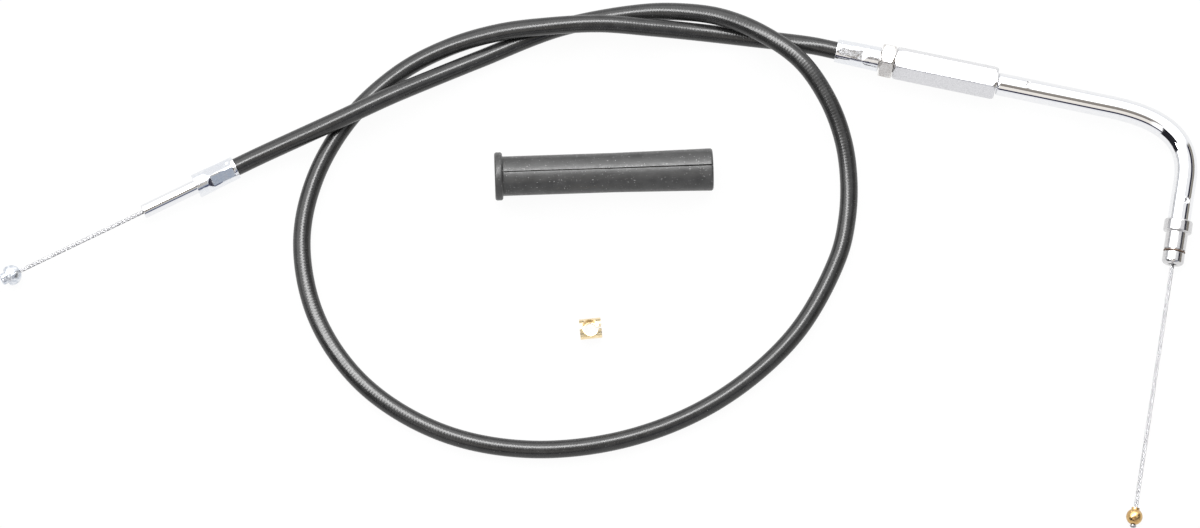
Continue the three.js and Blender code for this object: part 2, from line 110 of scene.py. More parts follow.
# The route that the CAD gives the sheath between its two crimps.
FREE_ROUTE = [
    (-0.1173, 0.0571, 0.0078),
    (-0.0996, 0.0645, 0.0114),
    (-0.0821, 0.0732, 0.0102),
    (-0.0641, 0.0821, 0.006),
    (-0.0465, 0.09, 0.0039),
    (-0.0149, 0.1028, 0.0037),
    (0.0167, 0.1089, 0.0037),
    (0.0326, 0.1089, 0.0054),
    (0.0484, 0.1059, 0.0088),
    (0.0642, 0.0985, 0.0124),
    (0.0799, 0.0869, 0.0131),
    (0.0904, 0.0719, 0.011),
    (0.0964, 0.0563, 0.008),
    (0.0986, 0.0407, 0.0054),
    (0.0978, 0.0248, 0.0039),
    (0.0938, 0.0089, 0.0037),
    (0.0769, -0.0211, 0.0037),
    (0.0476, -0.0467, 0.0037),
    (0.0126, -0.0619, 0.0037),
    (-0.0263, -0.0665, 0.0037),
    (-0.0613, -0.0596, 0.0037),
    (-0.0911, -0.0411, 0.0037),
    (-0.1095, -0.0151, 0.0037),
    (-0.116, 0.0149, 0.0037),
    (-0.1113, 0.0411, 0.0037),
    (-0.098, 0.0653, 0.0037),
    (-0.0781, 0.0844, 0.0037),
    (-0.0584, 0.0948, 0.0046),
    (-0.0387, 0.0997, 0.0085),
    (-0.0189, 0.1015, 0.0115),
    (0.0009, 0.1026, 0.011),
    (0.0207, 0.1018, 0.008),
    (0.0385, 0.1008, 0.005),
    (0.0599, 0.0986, 0.0039),
]


def centripetal(points, step):
    """A centripetal Catmull-Rom curve through points, sampled evenly."""
    ends = [points[0] * 2 - points[1], *points, points[-1] * 2 - points[-2]]
    fine = []
    for p0, p1, p2, p3 in zip(ends, ends[1:], ends[2:], ends[3:]):
        t0 = 0.0
        t1 = t0 + math.sqrt((p1 - p0).length)
        t2 = t1 + math.sqrt((p2 - p1).length)
        t3 = t2 + math.sqrt((p3 - p2).length)
        pieces = 60
        for index in range(pieces):
            t = t1 + (t2 - t1) * index / pieces
            a1 = p0.lerp(p1, (t - t0) / (t1 - t0))
            a2 = p1.lerp(p2, (t - t1) / (t2 - t1))
            a3 = p2.lerp(p3, (t - t2) / (t3 - t2))
            b1 = a1.lerp(a2, (t - t0) / (t2 - t0))
            b2 = a2.lerp(a3, (t - t1) / (t3 - t1))
            fine.append(b1.lerp(b2, (t - t1) / (t2 - t1)))
    fine.append(points[-1])
    return evenly(fine, step)


def evenly(points, step):
    """Points about a step apart along a polyline, its two ends included."""
    places = np.array([tuple(point) for point in points])
    travelled = np.concatenate([[0], np.cumsum(np.linalg.norm(np.diff(places, axis=0), axis=1))])
    count = max(1, round(travelled[-1] / step))
    wanted = np.linspace(0, travelled[-1], count + 1)
    columns = [np.interp(wanted, travelled, places[:, axis]) for axis in range(3)]
    return np.stack(columns, axis=1)


# -------------------------------- mesh helpers

def new_piece(name, vertices, faces, sharp_degrees=32):
    """A smooth-shaded closed mesh, with sharp edges where faces turn by more than the angle."""
    mesh = bpy.data.meshes.new(name)
    mesh.from_pydata([tuple(vertex) for vertex in vertices], [], faces)
    mesh.validate()
    if volume(mesh) < 0:
        mesh.flip_normals()
    mesh.shade_smooth()
    mesh.set_sharp_from_angle(angle=math.radians(sharp_degrees))
    piece = bpy.data.objects.new(name, mesh)
    bpy.context.scene.collection.objects.link(piece)
    return piece


def grid_faces(rings, sides, first=0, closed=False):
    """Quads between rings of equal size; closed joins the last ring to the first."""
    faces = []
    spans = rings if closed else rings - 1
    for ring in range(spans):
        here = first + ring * sides
        there = first + ((ring + 1) % rings) * sides
        for side in range(sides):
            after = (side + 1) % sides
            faces.append((here + side, here + after, there + after, there + side))
    return faces


def rounded(corners, steps=5):
    """A closed outline of (along, radius) from corners of (along, radius, fillet)."""
    outline = []
    count = len(corners)
    for index, (along, radius, fillet) in enumerate(corners):
        corner = np.array([along, radius])
        before = np.array(corners[index - 1][:2]) - corner
        after = np.array(corners[(index + 1) % count][:2]) - corner
        if fillet == 0:
            outline.append(corner)
            continue
        before /= np.linalg.norm(before)
        after /= np.linalg.norm(after)
        half = math.acos(np.clip(before @ after, -1, 1)) / 2
        reach = fillet / math.tan(half)
        start, end = corner + before * reach, corner + after * reach
        centre = corner + (before + after) / np.linalg.norm(before + after) * fillet / math.sin(half)
        for step in range(steps + 1):
            point = start + (end - start) * step / steps - centre
            outline.append(centre + point / np.linalg.norm(point) * fillet)
    return outline


def filled(outline, longest):
    """The outline with its long stretches divided."""
    dense = []
    for here, there in zip(outline, [*outline[1:], outline[0]]):
        here, there = np.array(here), np.array(there)
        pieces = max(1, math.ceil(np.linalg.norm(there - here) / longest))
        dense.extend(here + (there - here) * index / pieces for index in range(pieces))
    return dense


def volume(mesh):
    """Six times the volume inside a closed mesh, negative if its faces point inward."""
    mesh.calc_loop_triangles()
    corners = np.zeros(3 * len(mesh.loop_triangles), np.int32)
    mesh.loop_triangles.foreach_get("vertices", corners)
    places = np.zeros(3 * len(mesh.vertices), np.float32)
    mesh.vertices.foreach_get("co", places)
    first, second, third = np.moveaxis(places.reshape(-1, 3)[corners.reshape(-1, 3)], 1, 0)
    return float(np.sum(first * np.cross(second, third)))


def straight(place):
    """A guide along the x of a frame: where, up and side for a distance along it."""
    outward, side, up = (np.array(place.to_3x3().col[axis]) for axis in range(3))
    origin = np.array(place.translation)
    return lambda along: (origin + outward * along, up, side)


def bent(points, up):
    """A guide along a flat bent line, with the line's length."""
    places = np.array([tuple(point) for point in points])
    travelled = np.concatenate([[0], np.cumsum(np.linalg.norm(np.diff(places, axis=0), axis=1))])
    up = np.array(up)
    reach = 0.0004

    def at(along):
        return np.array([np.interp(along, travelled, places[:, axis]) for axis in range(3)])

    def guide(along):
        ahead = at(along + reach) - at(along - reach)
        return at(along), up, np.cross(up, ahead / np.linalg.norm(ahead))

    return guide, travelled[-1]


def spun(name, guide, outline, sides=64, shape=None, sharp_degrees=32, first_degrees=0):
    """A turned solid round a guide from a closed outline of (along, radius).

    shape(along, angle, radius) may change a radius; angle 0 is up and a quarter turn is -y.
    One line of its vertices runs along it at the first angle."""
    angles = 2 * math.pi * np.arange(sides) / sides + math.radians(first_degrees)
    rings = []
    for along, radius in outline:
        where, up, side = guide(along)
        reach = np.full(sides, float(radius))
        if shape:
            reach = np.array([shape(along, angle, radius) for angle in angles])
        upward = np.outer(reach * np.cos(angles), up)
        rings.append(where + upward - np.outer(reach * np.sin(angles), side))
    faces = grid_faces(len(outline), sides, closed=True)
    return new_piece(name, np.concatenate(rings), faces, sharp_degrees)


def carried_frames(points):
    """A normal and a side vector at each point, carried along without twist."""
    tangents = np.gradient(points, axis=0)
    tangents /= np.linalg.norm(tangents, axis=1)[:, None]
    normal = np.cross(tangents[0], np.array([0, 0, 1.0]))
    normal = np.cross(normal, tangents[0])
    normal /= np.linalg.norm(normal)
    normals = []
    for tangent in tangents:
        normal = normal - tangent * (normal @ tangent)
        normal /= np.linalg.norm(normal)
        normals.append(normal)
    normals = np.array(normals)
    return normals, np.cross(tangents, normals)


def tube_points(points, radius, sides, ripple=None):
    """Rings of vertices round a path; ripple(ring, angles) adds to the radius."""
    normals, others = carried_frames(points)
    angles = 2 * math.pi * np.arange(sides) / sides
    rings = []
    for ring, point in enumerate(points):
        reach = radius + (ripple(ring, angles) if ripple else np.zeros(sides))
        across = np.outer(reach * np.cos(angles), normals[ring])
        rings.append(point + across + np.outer(reach * np.sin(angles), others[ring]))
    return np.concatenate(rings)


def rod(name, points, radius, sides):
    """A solid round bar along a path, with its two ends closed."""
    vertices = tube_points(points, radius, sides)
    faces = grid_faces(len(points), sides)
    faces.append(tuple(range(sides))[::-1])
    last = (len(points) - 1) * sides
    faces.append(tuple(range(last, last + sides)))
    return new_piece(name, vertices, faces, 60)


def hollow_tube(name, points, radius, bore, sides, ripple, every):
    """A tube along a path; its open bore has one ring for every so many rings outside."""
    outer = tube_points(points, radius, sides, ripple)
    within = tube_points(points, bore, sides).reshape(len(points), sides, 3)
    kept = sorted({*range(0, len(points), every), len(points) - 1}, reverse=True)
    vertices = np.concatenate([outer, within[kept].reshape(-1, 3)])
    return new_piece(name, vertices, grid_faces(len(points) + len(kept), sides, closed=True))


# -------------------------------- materials

def mixed(tree, factor, first, second):
    """A colour in a node tree: first where factor is 0 and second where it is 1."""
    node = tree.nodes.new("ShaderNodeMix")
    node.data_type = "RGBA"
    for name, value in (("Factor", factor), ("A", first), ("B", second)):
        socket = next(s for s in node.inputs if s.name == name and s.enabled)
        if isinstance(value, tuple):
            socket.default_value = (*value, 1)
        else:
            tree.links.new(value, socket)
    return next(s for s in node.outputs if s.enabled)


class Finish:
    """A Principled material that is built up node by node from the piece's own coordinates."""

    def __init__(self, name, color, roughness, metallic=0.0):
        self.material = bpy.data.materials.new(name)
        self.material.use_nodes = True
        self.tree = self.material.node_tree
        self.shader = self.tree.nodes["Principled BSDF"]
        self.shader.inputs["Base Color"].default_value = (*color, 1)
        self.shader.inputs["Roughness"].default_value = roughness
        self.shader.inputs["Metallic"].default_value = metallic
        self.place = self.tree.nodes.new("ShaderNodeTexCoord").outputs["Object"]

    def set(self, **values):
        for socket, value in values.items():
            self.shader.inputs[socket.replace("_", " ")].default_value = value
        return self

    def noise(self, scale, detail=3.0, stretch=None):
        """Noise with features of about 1/scale metres; stretch scales each axis."""
        node = self.tree.nodes.new("ShaderNodeTexNoise")
        node.inputs["Scale"].default_value = scale
        node.inputs["Detail"].default_value = detail
        place = self.place
        if stretch:
            mapping = self.tree.nodes.new("ShaderNodeMapping")
            mapping.inputs["Scale"].default_value = stretch
            self.tree.links.new(place, mapping.inputs["Vector"])
            place = mapping.outputs["Vector"]
        self.tree.links.new(place, node.inputs["Vector"])
        return node.outputs["Fac"]

    def ramp(self, factor, *stops):
        """A colour ramp of (position, colour or grey) stops."""
        node = self.tree.nodes.new("ShaderNodeValToRGB")
        elements = node.color_ramp.elements
        while len(elements) < len(stops):
            elements.new(0.5)
        for element, (position, color) in zip(elements, stops):
            element.position = position
            element.color = (*color, 1) if isinstance(color, tuple) else (color, color, color, 1)
        self.tree.links.new(factor, node.inputs["Fac"])
        return node.outputs["Color"]

    def color(self, source):
        self.tree.links.new(source, self.shader.inputs["Base Color"])
        return self

    def roughness(self, factor, low, high):
        spread = self.ramp(factor, (0.3, low), (0.7, high))
        self.tree.links.new(spread, self.shader.inputs["Roughness"])
        return self

    def bump(self, height, strength, distance):
        """Adds relief on top of what is already there."""
        node = self.tree.nodes.new("ShaderNodeBump")
        node.inputs["Strength"].default_value = strength
        node.inputs["Distance"].default_value = distance
        self.tree.links.new(height, node.inputs["Height"])
        normal = self.shader.inputs["Normal"]
        if normal.is_linked:
            self.tree.links.new(normal.links[0].from_socket, node.inputs["Normal"])
        self.tree.links.new(node.outputs["Normal"], normal)
        return self

    def on(self, piece):
        piece.data.materials.clear()
        piece.data.materials.append(self.material)


def sheath_finish():
    """Gloss black extruded plastic with a little dust."""
    it = Finish("sheath_plastic", (0.01, 0.01, 0.0105), 0.16)
    it.set(IOR=1.5)
    cloudy = it.ramp(it.noise(260), (0.3, 0.009), (0.7, 0.016))
    dust = it.ramp(it.noise(2600, 1.0), (0.735, 0.0), (0.76, 1.0))
    it.color(mixed(it.tree, dust, cloudy, (0.12, 0.12, 0.12)))
    it.roughness(it.noise(500), 0.21, 0.29)
    return it.bump(it.noise(3500, 2.0), 0.06, 0.0001)


def chrome_finish():
    """Bright chrome plate with a faint haze."""
    it = Finish("chrome_plate", (0.85, 0.86, 0.87), 0.04, 1.0)
    it.color(it.ramp(it.noise(900), (0.3, (0.82, 0.83, 0.85)), (0.7, (0.88, 0.88, 0.89))))
    it.roughness(it.noise(350, 4.0), 0.03, 0.07)
    return it.bump(it.noise(700, 2.0), 0.02, 0.0001)


def pressed_finish():
    """Chrome that the dies of a crimping press have marked."""
    it = Finish("pressed_chrome", (0.84, 0.85, 0.87), 0.14, 1.0)
    it.color(it.ramp(it.noise(1100, 4.0), (0.3, (0.78, 0.8, 0.84)), (0.7, (0.87, 0.88, 0.9))))
    it.roughness(it.noise(600, 4.0), 0.08, 0.2)
    return it.bump(it.noise(1500, 3.0), 0.28, 0.0001)


def turned_finish():
    """Nickel plate over turned brass, a little softer than chrome."""
    it = Finish("nickel_plate", (0.8, 0.79, 0.8), 0.14, 1.0)
    it.color(it.ramp(it.noise(1300, 4.0), (0.3, (0.58, 0.57, 0.58)), (0.7, (0.7, 0.7, 0.7))))
    it.roughness(it.noise(900, 3.0), 0.1, 0.2)
    return it.bump(it.noise(2600, 2.0), 0.06, 0.0001)


def zinc_finish():
    """Zinc plate on turned steel, slightly yellow."""
    it = Finish("zinc_plate", (0.7, 0.68, 0.65), 0.3, 1.0)
    it.color(it.ramp(it.noise(800, 4.0), (0.3, (0.62, 0.59, 0.56)), (0.7, (0.78, 0.77, 0.76))))
    it.roughness(it.noise(1500), 0.22, 0.36)
    return it.bump(it.noise(3000, 3.0), 0.12, 0.0001)


def satin_finish():
    """Satin aluminium, tumbled before it was anodised clear."""
    it = Finish("satin_aluminium", (0.8, 0.8, 0.81), 0.18, 1.0)
    it.color(it.ramp(it.noise(2200, 4.0), (0.3, (0.61, 0.61, 0.63)), (0.7, (0.75, 0.75, 0.77))))
    it.roughness(it.noise(1200), 0.13, 0.22)
    return it.bump(it.noise(4500, 3.0), 0.2, 0.0001)


def cast_finish():
    """Cast zinc alloy, bright on top of its grain."""
    it = Finish("cast_zinc", (0.8, 0.82, 0.85), 0.34, 1.0)
    it.color(it.ramp(it.noise(900, 4.0), (0.35, (0.5, 0.54, 0.61)), (0.65, (0.88, 0.9, 0.93))))
    it.roughness(it.noise(900), 0.26, 0.44)
    it.bump(it.noise(650, 3.0), 0.3, 0.0003)
    return it.bump(it.noise(3500, 2.0), 0.2, 0.0001)


def wire_finish():
    """Galvanised steel strands, each of finer wires."""
    it = Finish("galvanised_wire", (0.3, 0.3, 0.31), 0.3, 1.0)
    it.color(it.ramp(it.noise(2500, 3.0), (0.3, (0.24, 0.24, 0.25)), (0.7, (0.54, 0.54, 0.55))))
    it.roughness(it.noise(2000), 0.24, 0.36)
    return it.bump(it.noise(5500, 2.0), 0.35, 0.0001)


def brass_finish(name, dark, light, roughness):
    """Brass or copper alloy, mottled between two colours."""
    it = Finish(name, light, roughness, 1.0)
    it.color(it.ramp(it.noise(600, 4.0), (0.3, dark), (0.7, light)))
    it.roughness(it.noise(1500), roughness - 0.06, roughness + 0.1)
    return it.bump(it.noise(4000, 3.0), 0.12, 0.0001)


def nylon_finish():
    """Black nylon, which leaves a dark hole in the plug's nose, where the liner ends."""
    it = Finish("black_nylon", (0.014, 0.014, 0.015), 0.45)
    it.color(it.ramp(it.noise(500), (0.3, (0.01, 0.01, 0.011)), (0.7, (0.02, 0.02, 0.021))))
    it.roughness(it.noise(900), 0.4, 0.55)
    return it.bump(it.noise(2500, 2.0), 0.15, 0.0001)


def rubber_finish():
    """Moulded rubber, greyed on its surface, with pale specks."""
    it = Finish("moulded_rubber", (0.07, 0.07, 0.07), 0.6)
    it.set(IOR=1.5)
    cloudy = it.ramp(it.noise(220, 5.0), (0.3, 0.022), (0.7, 0.04))
    specks = it.ramp(it.noise(1900, 1.0), (0.72, 0.0), (0.75, 1.0))
    it.color(mixed(it.tree, specks, cloudy, (0.3, 0.3, 0.3)))
    it.roughness(it.noise(700, 4.0), 0.3, 0.46)
    it.bump(it.noise(900, 3.0), 0.2, 0.0002)
    return it.bump(it.noise(4000, 2.0), 0.25, 0.0001)


SHEATH = sheath_finish()
CHROME = chrome_finish()
PRESSED = pressed_finish()
TURNED = turned_finish()
ZINC = zinc_finish()
SATIN = satin_finish()
CAST = cast_finish()
WIRE = wire_finish()
BALL_BRASS = brass_finish("ball_brass", (0.5, 0.3, 0.12), (0.72, 0.5, 0.22), 0.24)
BARREL_BRASS = brass_finish("barrel_brass", (0.84, 0.64, 0.35), (0.98, 0.84, 0.56), 0.22)
COPPER = brass_finish("copper_ring", (0.13, 0.08, 0.06), (0.22, 0.15, 0.11), 0.5)
NYLON = nylon_finish()
RUBBER = rubber_finish()


def finished(piece, body, finish, slot, *nodes):
    """Gives a piece its material and the body that it rides on, and hides the nodes that it stands for.
    """
    finish.on(piece)
    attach(piece, body)
    if nodes:
        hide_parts(*nodes)


# -------------------------------- cable

RIB_PITCH = 0.0012
RIB_HEIGHT = 0.000012
RINGS_PER_RIB = 4


def cable_route(step):
    """Evenly spaced points from inside the carburettor ferrule to inside the adjuster's."""
    free = [Vector(point) for point in FREE_ROUTE]
    ends = (JACKET_INSERT, 0, -LEAD_OUT)
    start = [carb_end @ Vector((along, 0, 0)) for along in ends]
    finish = [adjuster_end @ Vector((along, 0, 0)) for along in ends[::-1]]
    return centripetal([*start, *free, *finish], step)


def add_sheath():
    """The plastic jacket, with the coils of the conduit just showing through it, and its route."""
    route = cable_route(RIB_PITCH / RINGS_PER_RIB)[::-1]

    def coils(ring, angles):
        return RIB_HEIGHT * (np.sin(2 * math.pi * ring / RINGS_PER_RIB - angles) - 1)

    sheath = hollow_tube("sheath", route, JACKET_R, JACKET_BORE_R, sides=24,
                         ripple=coils, every=RINGS_PER_RIB)
    finished(sheath, "cable_housing", SHEATH, "sheath", "cable_jacket")
    return sheath, route


# -------------------------------- crimps

FERRULE_R = 0.0049
FERRULE_BORE_R = 0.0038
FERRULE_LENGTH = 0.0174
INSERT_GAP = 0.0006                 # between the sheath's end and the next piece in the ferrule
CRIMP_PLACES = (0.0006, 0.0016, 0.0108, 0.0136)     # the flats begin, are full, and run out
UNPRESSED_R = FERRULE_R + 0.0002    # flats at this radius leave the sleeve round
DIE_MARK_R = 0.0005
DIE_MARK_DEPTH = 0.0003


def crimp(flat_r, first_flat, mark_at, mark_angle):
    """The shape of a sleeve that six dies have pressed flat near its mouth, with a round mark.

    The two angles are in degrees, of the first flat's middle and of the mark."""
    first = math.radians(first_flat)
    mark = math.radians(mark_angle)

    def pressed(along, angle, radius):
        if radius < FERRULE_BORE_R + 0.0001:
            return radius
        into = np.interp(along, CRIMP_PLACES, (0, 1, 1, 0))
        flat = UNPRESSED_R - (UNPRESSED_R - flat_r) * into
        off = (angle - first + math.pi / 6) % (math.pi / 3) - math.pi / 6
        reach = min(radius, flat / math.cos(off))
        turn = (angle - mark + math.pi) % (2 * math.pi) - math.pi
        away = math.hypot(along - mark_at, FERRULE_R * turn)
        return reach - DIE_MARK_DEPTH * math.exp(-((away / DIE_MARK_R) ** 2))

    return pressed


def ferrule(name, place, far_bore, shape, first_flat):
    """A sleeve over the sheath's end, with a line of vertices down the middle of each flat."""
    outline = rounded([
        (0, FERRULE_BORE_R, 0.0001),
        (JACKET_INSERT + CLEARANCE, FERRULE_BORE_R, 0),
        (JACKET_INSERT + CLEARANCE, far_bore, 0),
        (FERRULE_LENGTH, far_bore, 0.0001),
        (FERRULE_LENGTH, FERRULE_R, 0.0003),
        (0, FERRULE_R - 0.0003, 0.0002),
    ])
    piece = spun(name, straight(place), filled(outline, 0.00025), sides=96, shape=shape,
                 sharp_degrees=14, first_degrees=first_flat)
    finished(piece, "cable_housing", PRESSED, "chrome")
    return piece


# -------------------------------- carburettor end

GUIDE_R = 0.0028
GUIDE_BORE_R = 0.0019
GUIDE_TIP = 0.0404
CARB_FLAT_R = 0.00417
CARB_FLAT_AT = 32.5                 # degrees round the ferrule
CARB_WIRE_FROM = 0.0344
CARB_BALL_AT = 0.0974
CARB_BALL_R = 0.00395
CARB_FACE_AT = 0.0021               # flat far face, from the ball's middle
CARB_NUB_R = 0.0023
CARB_NUB_REACH = 0.0044
WIRE_R = 0.0008
BALL_BORE_R = WIRE_R + 0.00002
STRAND_LAY = 0.0129                 # length along the wire in which a strand turns once
SKIN_FROM_R = 0.0012                # the cast ball's bore, within this radius, stays smooth


def stranded_wire(name, place, start, end):
    """Six round strands twisted about a seventh."""
    strand_r = WIRE_R / 3
    step, sides, core = 0.0004, 9, 6
    alongs = np.linspace(start, end, round((end - start) / step) + 1)
    rotation, origin = np.array(place.to_3x3()), np.array(place.translation)
    vertices, faces = [], []
    for strand in range(7):
        turned = 2 * math.pi * (alongs / STRAND_LAY + strand / 6)
        off = 0 if strand == core else 2 * strand_r
        local = np.stack([alongs, off * np.cos(turned), off * np.sin(turned)], axis=1)
        points = local @ rotation.T + origin
        first = len(vertices) * len(alongs) * sides
        vertices.append(tube_points(points, strand_r * (0.98 if strand == core else 0.93), sides))
        faces += grid_faces(len(alongs), sides, first)
        faces.append(tuple(range(first, first + sides))[::-1])
        last = first + (len(alongs) - 1) * sides
        faces.append(tuple(range(last, last + sides)))
    return new_piece(name, np.concatenate(vertices), faces, 60)


def arc(middle, radius, from_degrees, to_degrees, steps=24):
    """Points of (along, radius) round a circle on the axis; 0 degrees points outward."""
    turns = np.radians(np.linspace(from_degrees, to_degrees, steps + 1))
    return [(middle + radius * math.cos(turn), radius * math.sin(turn)) for turn in turns]


def necked_ball_outline(middle, radius, bore, neck_end, neck_r):
    """A ball bored for its wire, with a short neck on its near side."""
    far_turn = math.degrees(math.asin(bore / radius))
    near_turn = 180 - math.degrees(math.asin(neck_r / radius))
    return [*arc(middle, radius, far_turn, near_turn), (neck_end, neck_r), (neck_end, bore)]


def sprued_ball_outline(middle, radius, bore, face, nub_reach, nub_r):
    """A ball cut flat on its far side, with a rounded stub of its sprue there."""
    edge = math.degrees(math.acos(face / radius))
    near_turn = 180 - math.degrees(math.asin(bore / radius))
    face_r = math.sqrt(radius ** 2 - face ** 2)
    rim, soft, crease = 0.0003, 0.0008, 0.00015
    nub_edge = arc(middle + nub_reach - soft, soft, 0, 90, 5)
    outline = [(middle + nub_reach, bore)]
    outline += [(along, nub_r - soft + out) for along, out in nub_edge]
    outline += [(middle + face + crease, nub_r), (middle + face, nub_r + crease),
                (middle + face, face_r - rim)]
    return outline + arc(middle, radius, edge + 3, near_turn, 32)


def spot_at(along, angle, radius):
    """A place on a turned solid, for noise to be read at."""
    return Vector((along, radius * math.sin(angle), radius * math.cos(angle)))


def cast_skin(along, angle, radius):
    """A cast skin that wanders a little, with the flash of the mould's parting line on it."""
    if radius < SKIN_FROM_R:
        return radius
    spot = spot_at(along, angle, radius)
    off_line = abs((angle + math.pi / 2) % math.pi - math.pi / 2)
    flash = 0.00016 * math.exp(-((off_line / 0.09) ** 2))
    return radius + 0.00014 * noise.noise(spot * 700) + 0.00005 * noise.noise(spot * 2100) + flash


def lumpy(along, angle, radius):
    """The shape of a blob of solder."""
    if radius < 0.0005:
        return radius
    return radius + 0.0001 * noise.noise(spot_at(along, angle, radius) * 1500)


def add_carburettor_end():
    shape = crimp(CARB_FLAT_R, CARB_FLAT_AT, mark_at=0.0027, mark_angle=28)
    crimped = ferrule("carb_ferrule", carb_end, GUIDE_R + CLEARANCE, shape, CARB_FLAT_AT)
    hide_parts("carb_crimp_ferrule")
    guide = spun("guide_tube", straight(carb_end), filled(rounded([
        (JACKET_INSERT + INSERT_GAP, GUIDE_BORE_R, 0),
        (GUIDE_TIP, GUIDE_BORE_R, 0.0002),
        (GUIDE_TIP, GUIDE_R, 0.0006),
        (JACKET_INSERT + INSERT_GAP, GUIDE_R, 0),
    ]), 0.002), sides=64)
    finished(guide, "cable_housing", CHROME, "chrome", "carb_guide_tube")
    wire_end = CARB_BALL_AT + CARB_NUB_REACH - 0.0004
    wire = stranded_wire("carb_strands", carb_end, CARB_WIRE_FROM, wire_end)
    finished(wire, "carb_wire", WIRE, "steel", "carb_wire")
    outline = sprued_ball_outline(CARB_BALL_AT, CARB_BALL_R, BALL_BORE_R,
                                  CARB_FACE_AT, CARB_NUB_REACH, CARB_NUB_R)
    ball = spun("cast_ball", straight(carb_end), filled(outline, 0.0004), sides=96,
                shape=cast_skin, sharp_degrees=40)
    finished(ball, "carb_wire", CAST, "cast_zinc", "carb_ball")
    return crimped, guide, wire, ball


# -------------------------------- adjuster

THREAD_R = 0.00397
THREAD_PITCH = 0.0254 / 24
THREAD_DEPTH = 0.00055
STUD_BORE_R = 0.0014
STUD_END = 0.0445
STUD_SHANK_R = 0.0033
STUD_TIP_R = 0.0032
TAPPED_R = THREAD_R + CLEARANCE
TAPPED_WITHIN_R = THREAD_R + 0.0004
ADJUSTER_FLAT_R = 0.00440
ADJUSTER_FLAT_AT = 11               # degrees round the ferrule
NUT_AT = 0.0179
NUT_THICKNESS = 0.0053
NUT_FLATS = 0.0126
NUT_TURNED = 17                     # degrees round the fitting
ADJUSTER_AT = 0.0235
ADJUSTER_LENGTH = 0.0408
ADJUSTER_FLATS = 0.012
ADJUSTER_TURNED = 25                # degrees round the fitting
ADJUSTER_END = ADJUSTER_AT + ADJUSTER_LENGTH
CAVITY_FROM = 0.0465
CAVITY_TO = 0.0595
CAVITY_R = 0.0049
COLLAR_BORE_R = 0.0039
HOLE_WALL = 0.0008                  # what is this far inside a flat belongs to the hole
CORNER_POWER = 44                   # the higher, the sharper a hexagon's six corners


def thread(along, angle):
    """Height above the root of a right-hand thread, from 0 to 1."""
    phase = (along / THREAD_PITCH + angle / (2 * math.pi)) % 1
    return min(1, max(0, 1.25 - abs(phase - 0.5) * 3))


def hexagon(flats, turned, start, length, chamfer, threaded_to):
    """The shape of a bar of hexagon stock with rounded corners, turned ends and a tapped hole."""
    lean = math.radians(turned)

    def shape(along, angle, radius):
        if radius < flats / 2 - HOLE_WALL:
            if start + 0.0004 < along < threaded_to - 0.0004 and radius < TAPPED_WITHIN_R:
                return radius - 0.0002 * thread(along, angle)
            return radius
        half = flats / 2
        offs = [angle - lean + math.pi / 6 + flat * math.pi / 3 for flat in range(6)]
        total = sum(max(0.0, math.cos(off) / half) ** CORNER_POWER for off in offs)
        reach = total ** (-1 / CORNER_POWER)
        from_end = max(0.0, min(along - start, start + length - along))
        cone = half - 0.00012 + from_end * chamfer
        return min(reach, cone, radius)

    return shape


def hex_piece(name, start, length, flats, turned, chamfer, bore):
    """A piece of hexagon stock; bore holds its hole's corners, of which the first two are tapped."""
    corner = flats / math.sqrt(3)
    end = start + length
    hole = rounded([*bore, (end, corner, 0.0002), (start, corner, 0.0002)])
    fine, coarse, near = 0.00016, 0.0012, 0.0016
    outline = []
    for (along, radius), (next_along, next_radius) in zip(hole, [*hole[1:], hole[0]]):
        outline.append((along, radius))
        inside = max(radius, next_radius) < flats / 2 - HOLE_WALL
        tapped = inside and max(radius, next_radius) < TAPPED_WITHIN_R
        at, ahead = along, 1 if next_along > along else -1
        while abs(next_along - along) > fine:
            by_end = min(at - start, end - at) < near
            at += ahead * (fine if tapped or (by_end and not inside) else coarse)
            if (next_along - at) * ahead < fine / 2:
                break
            slope = (next_radius - radius) * (at - along) / (next_along - along)
            outline.append((at, radius + slope))
    threaded_to = bore[1][0]
    shape = hexagon(flats, turned, start, length, chamfer, threaded_to)
    return spun(name, straight(adjuster_end), outline, sides=120, shape=shape,
                sharp_degrees=24, first_degrees=turned)


